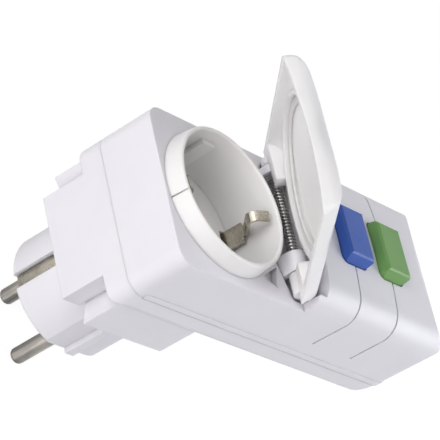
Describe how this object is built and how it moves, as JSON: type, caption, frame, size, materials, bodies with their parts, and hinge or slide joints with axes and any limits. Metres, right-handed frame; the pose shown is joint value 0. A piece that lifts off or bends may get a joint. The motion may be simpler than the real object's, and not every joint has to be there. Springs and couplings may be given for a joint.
{
  "type": "rcd adapter plug",
  "caption": "Plug-in residual current adapter: white housing with a round earthed plug behind, a lidded earthed socket in front and blue and green push buttons.",
  "frame": {"origin": "on the plug axis, midway between the pins, at the plug face where the pins leave it", "axes": "+Z out of the socket, away from the pins; +Y along the housing to the button end; X across the pins"},
  "size_m": [0.0494, 0.1142, 0.117],
  "materials": {
    "white_housing": "fine satin moulded white plastic",
    "white_insert": "satin moulded white plastic",
    "white_lid": "fine satin moulded white plastic",
    "pale_gasket": "soft pale grey",
    "plain_steel": "plain bright steel",
    "spring_steel": "dark drawn wire",
    "blue_button": "satin moulded blue plastic",
    "green_button": "satin moulded green plastic",
    "nickel_pin": "nickel-plated, turned",
    "nickel_contact": "nickel-plated strip",
    "brass": "plain stamped brass",
    "board_green": "solder mask",
    "core_grey": "coated ring core",
    "winding_varnish": "varnished copper winding",
    "dark_moulding": "dark moulded plastic",
    "ivory_moulding": "ivory moulded plastic",
    "component_tan": "lacquered",
    "component_blue": "shrink sleeve",
    "component_orange": "epoxy dipped"
  },
  "bodies": {
    "housing": {"front_shell": "white_housing", "rear_shell": "white_housing", "socket_insert": "white_insert", "hinge_pin": "plain_steel", "lid_spring": "spring_steel", "test_return_spring": "spring_steel", "reset_return_spring": "spring_steel", "line_pin": "nickel_pin", "neutral_pin": "nickel_pin", "plug_earth_strap": "nickel_contact", "socket_earth_clip": "nickel_contact", "earth_post": "brass", "line_sleeve": "brass", "neutral_sleeve": "brass", "line_feed_bar": "brass", "neutral_feed_bar": "brass", "line_load_bar": "brass", "neutral_load_bar": "brass", "circuit_board": "board_green", "sensing_core": "core_grey", "core_winding": "winding_varnish", "switch_frame": "dark_moulding", "carrier_spring": "spring_steel", "coil_yoke": "plain_steel", "coil_bobbin": "ivory_moulding", "coil_winding": "winding_varnish", "latch_pin": "plain_steel", "test_contact": "brass", "test_resistor": "component_tan", "load_resistor": "component_tan", "filter_capacitor": "component_blue", "surge_varistor": "component_orange", "trip_thyristor": "dark_moulding", "housing_screws": "plain_steel"},
    "lid": {"lid": "white_lid", "lid_gasket": "pale_gasket"},
    "test_button": {"test_button": "blue_button"},
    "reset_button": {"reset_button": "green_button"},
    "contact_carrier": {"contact_carrier": "ivory_moulding", "contact_bridges": "brass"},
    "trip_plunger": {"trip_plunger": "plain_steel"},
    "trip_latch": {"trip_latch": "plain_steel"}
  },
  "joints": [
    {"name": "lid_hinge", "type": "hinge", "parent": "housing", "child": "lid", "pos_m": [0, 0.0264, 0.0615], "axis": [1, 0, 0], "range_deg": [-46, 44], "deforming": ["lid_spring"]},
    {"name": "test_button_press", "type": "slide", "parent": "housing", "child": "test_button", "axis": [0, 0, -1], "range_m": [0, 0.002], "stiffness_N_per_m": 1500, "springref_m": -0.0008, "deforming": ["test_return_spring"]},
    {"name": "reset_button_press", "type": "slide", "parent": "housing", "child": "reset_button", "axis": [0, 0, -1], "range_m": [0, 0.003], "stiffness_N_per_m": 1500, "springref_m": -0.0008, "deforming": ["reset_return_spring", "carrier_spring"]},
    {"name": "carrier_slide", "type": "slide", "parent": "housing", "child": "contact_carrier", "axis": [0, 0, -1], "range_m": [0, 0.003]},
    {"name": "plunger_pull", "type": "slide", "parent": "housing", "child": "trip_plunger", "axis": [0, 1, 0], "range_m": [0, 0.0012], "stiffness_N_per_m": 400, "springref_m": -0.0005},
    {"name": "latch_turn", "type": "hinge", "parent": "housing", "child": "trip_latch", "pos_m": [0, 0.0737, 0.0402], "axis": [-1, 0, 0], "range_deg": [0, 13]}
  ],
  "couplings": [
    {"joint": "carrier_slide", "follows": "reset_button_press", "ratio": 1},
    {"joint": "latch_turn", "follows": "plunger_pull", "rad_per_m": 188}
  ]
}
